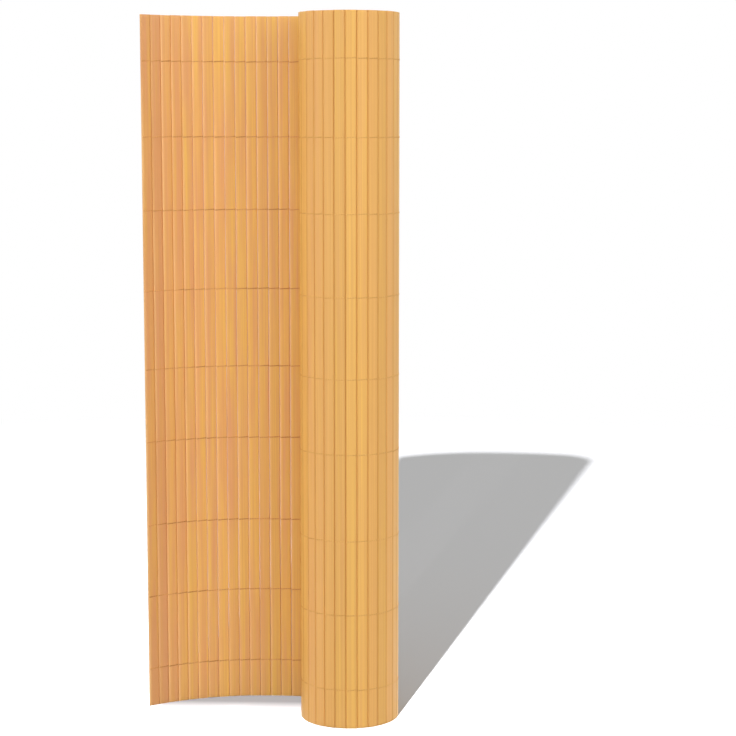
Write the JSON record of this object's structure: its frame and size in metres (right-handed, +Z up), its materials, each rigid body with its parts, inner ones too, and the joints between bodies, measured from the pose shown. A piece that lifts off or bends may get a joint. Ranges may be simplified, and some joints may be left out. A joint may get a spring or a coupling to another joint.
{
  "type": "pvc privacy screen",
  "caption": "Partly unrolled privacy screen: flat hollow plastic slats stand side by side, bound into a mat by threads, wound in a roll with one end loose.",
  "frame": {"origin": "on the floor, in the middle of the screen's footprint", "axes": "+Z up along the slats, +X from the loose end towards the roll, +Y towards the back"},
  "size_m": [0.3308, 0.1446, 0.9],
  "materials": {
    "slats": "satin",
    "threads": "matt"
  },
  "bodies": {
    "root": {"loose_end_slats": "slats", "turn_1_slats": "slats", "turn_2_slats": "slats", "turn_3_slats": "slats", "turn_4_slats": "slats", "turn_5_slats": "slats", "turn_6_slats": "slats", "turn_7_slats": "slats", "turn_8_slats": "slats", "turn_9_slats": "slats", "turn_10_slats": "slats", "binding_thread_1": "threads", "binding_thread_2": "threads", "binding_thread_3": "threads", "binding_thread_4": "threads", "binding_thread_5": "threads", "binding_thread_6": "threads", "binding_thread_7": "threads", "binding_thread_8": "threads", "binding_thread_9": "threads"}
  },
  "joints": []
}
